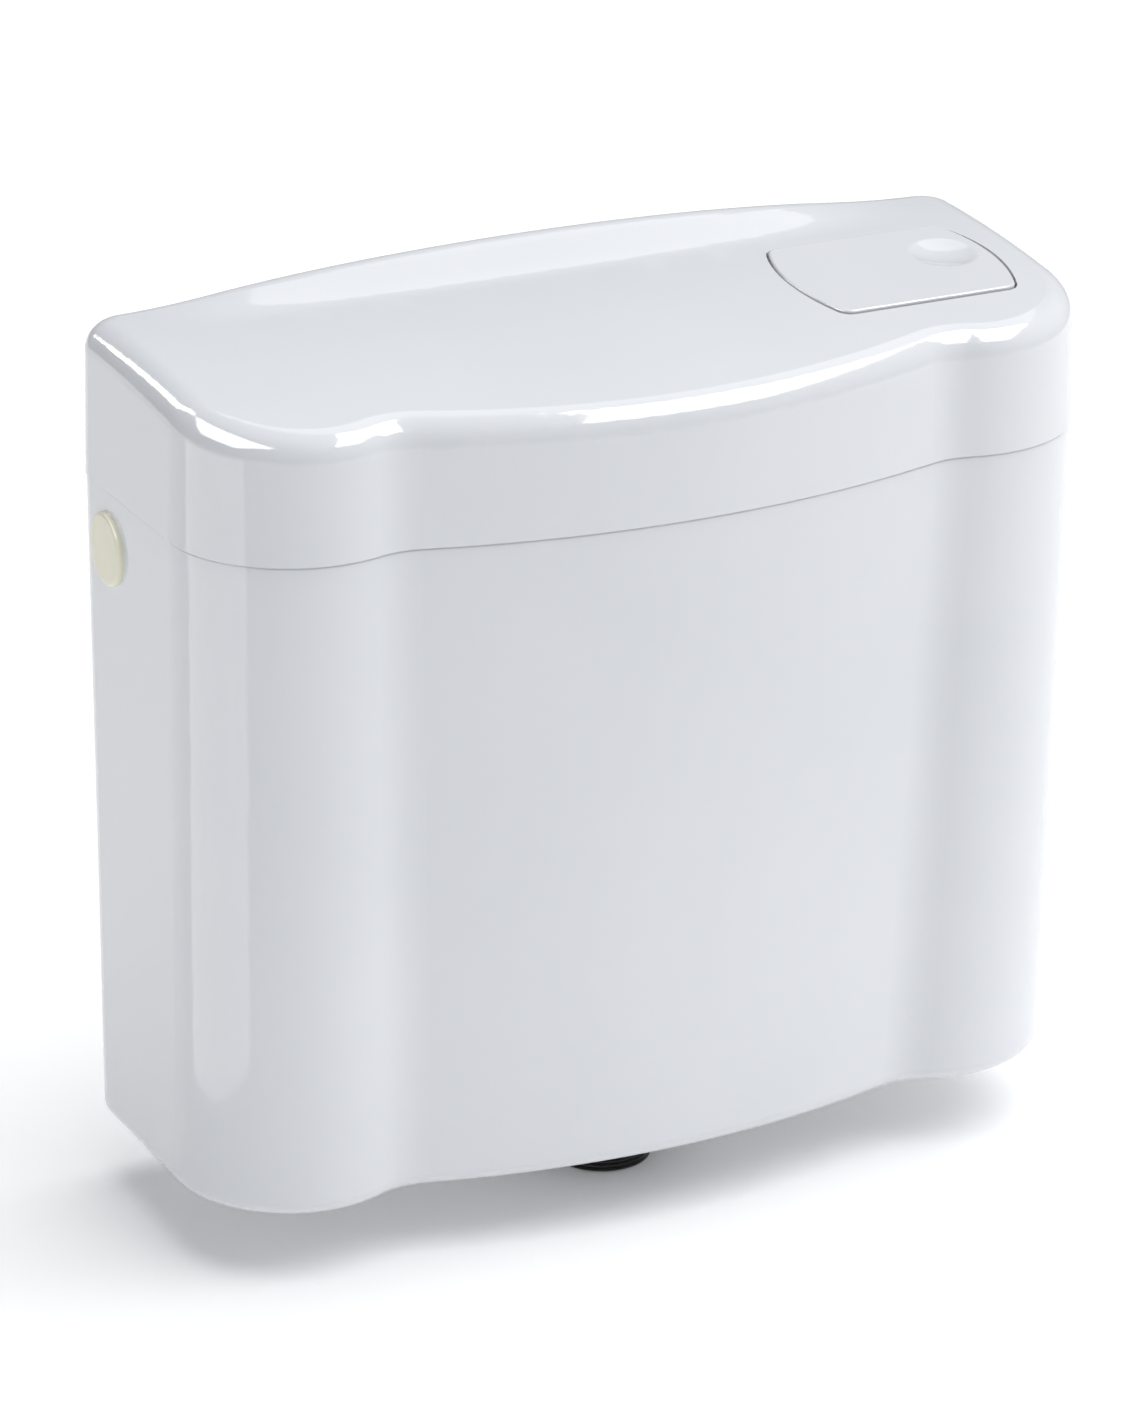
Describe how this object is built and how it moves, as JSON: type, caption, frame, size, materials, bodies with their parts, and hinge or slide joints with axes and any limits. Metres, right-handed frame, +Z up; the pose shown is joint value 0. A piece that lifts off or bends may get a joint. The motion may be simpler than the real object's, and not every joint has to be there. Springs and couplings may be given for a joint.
{
  "type": "toilet cistern",
  "caption": "Low-level wall-hung toilet cistern: bowed white shell, lift-off lid with a rocking push plate, flush valve, side-entry fill valve and threaded outlet below.",
  "frame": {"origin": "on the wall face, midway between the two wall screws", "axes": "X to the right along the wall, Y into the wall, Z up"},
  "size_m": [0.4875, 0.1952, 0.4485],
  "materials": {
    "white_plastic": "glossy white moulding",
    "cream_plastic": "satin cream moulding",
    "black_plastic": "satin black moulding",
    "natural_plastic": "natural white acetal",
    "grey_plastic": "grey moulding",
    "blue_plastic": "blue moulding",
    "seal_rubber": "black rubber",
    "brass": "turned brass",
    "steel": "stainless steel"
  },
  "bodies": {
    "tank": {"tank_body": "white_plastic", "lever_bridge": "grey_plastic", "bridge_screws": "steel", "lever_pin": "steel", "return_spring": "steel", "outlet_body": "black_plastic", "tank_seal": "seal_rubber", "outlet_washer": "seal_rubber", "outlet_backnut": "black_plastic", "valve_cage": "natural_plastic", "fill_valve_body": "brass", "inlet_washer": "seal_rubber", "inlet_backnut": "brass", "inlet_filter": "natural_plastic", "valve_diaphragm": "seal_rubber", "valve_head": "black_plastic", "valve_cap_nut": "brass", "float_arm_pin": "steel", "fill_tube": "natural_plastic", "blanking_plug": "cream_plastic", "plug_washer": "seal_rubber", "plug_nut": "cream_plastic"},
    "cover": {"lid": "white_plastic", "plate_hinge_pin": "steel"},
    "plate": {"push_plate": "white_plastic", "push_rod": "natural_plastic", "rod_locknut": "natural_plastic"},
    "lever": {"flush_lever": "natural_plastic"},
    "flush_valve": {"overflow_tube": "natural_plastic", "valve_float": "blue_plastic", "seal_disc": "seal_rubber", "seal_retainer": "black_plastic", "lift_link": "grey_plastic"},
    "arm": {"float_arm": "natural_plastic", "level_screw": "black_plastic", "fill_float": "blue_plastic"},
    "plunger": {"valve_plunger": "natural_plastic"}
  },
  "joints": [
    {"name": "lid_lift", "type": "slide", "parent": "tank", "child": "cover", "axis": [0, 0, 1], "range_m": [0, 0.12]},
    {"name": "plate_press", "type": "hinge", "parent": "cover", "child": "plate", "pos_m": [0.1022, -0.09696, 0.09453], "axis": [0, 0.9955, 0.0948], "range_deg": [0, 6.5], "stiffness_Nm_per_rad": 6, "springref_deg": -2.86},
    {"name": "lever_swing", "type": "hinge", "parent": "tank", "child": "lever", "pos_m": [0.11, -0.0935, 0.06], "axis": [0, 1, 0], "range_deg": [0, 7.6], "deforming": ["return_spring"]},
    {"name": "valve_lift", "type": "slide", "parent": "tank", "child": "flush_valve", "axis": [0, 0, 1], "range_m": [0, 0.0145]},
    {"name": "float_swing", "type": "hinge", "parent": "tank", "child": "arm", "pos_m": [0.1517, -0.0424, -0.001], "axis": [0, 1, 0], "range_deg": [0, 16]},
    {"name": "plunger_slide", "type": "slide", "parent": "tank", "child": "plunger", "axis": [1, 0, 0], "range_m": [0, 0.00205]}
  ],
  "couplings": [
    {"joint": "lever_swing", "follows": "plate_press", "ratio": 1.15},
    {"joint": "valve_lift", "follows": "plate_press", "m_per_rad": 0.126},
    {"joint": "plunger_slide", "follows": "float_swing", "m_per_rad": 0.00716}
  ]
}
